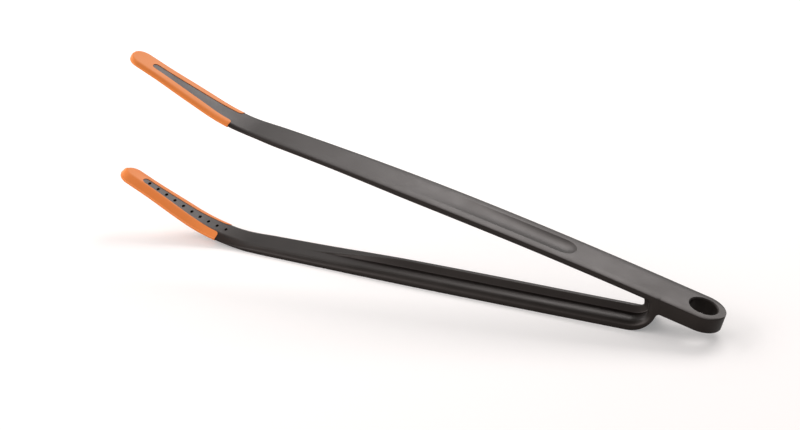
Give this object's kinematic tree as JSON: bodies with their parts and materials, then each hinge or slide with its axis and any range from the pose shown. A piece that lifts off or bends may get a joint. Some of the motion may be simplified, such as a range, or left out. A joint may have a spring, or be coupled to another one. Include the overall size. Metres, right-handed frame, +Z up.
{
  "type": "kitchen tongs",
  "caption": "Long nylon kitchen tongs with a moulded spring bend, silicone-edged tips, a thumb scoop and a hang hole in the tail.",
  "frame": {"origin": "centre of the bounding box, on the surface that the lower arm lies on", "axes": "+X from the tips to the tail, +Y across the arms, +Z up, from the lower arm to the upper arm"},
  "size_m": [0.2998, 0.0212, 0.0884],
  "materials": {
    "nylon": "satin moulded black nylon with a fine grain",
    "silicone": "satin orange silicone"
  },
  "bodies": {
    "lower": {"lower_arm": "nylon", "spring_bend": "nylon", "lower_tip_grip": "silicone"},
    "upper": {"upper_arm": "nylon", "upper_tip_grip": "silicone"}
  },
  "joints": [
    {"name": "squeeze", "type": "hinge", "parent": "lower", "child": "upper", "pos_m": [0.1166, 0, 0.008], "axis": [0, -1, 0], "range_deg": [0, 12.4], "stiffness_Nm_per_rad": 4, "deforming": ["spring_bend"]}
  ]
}
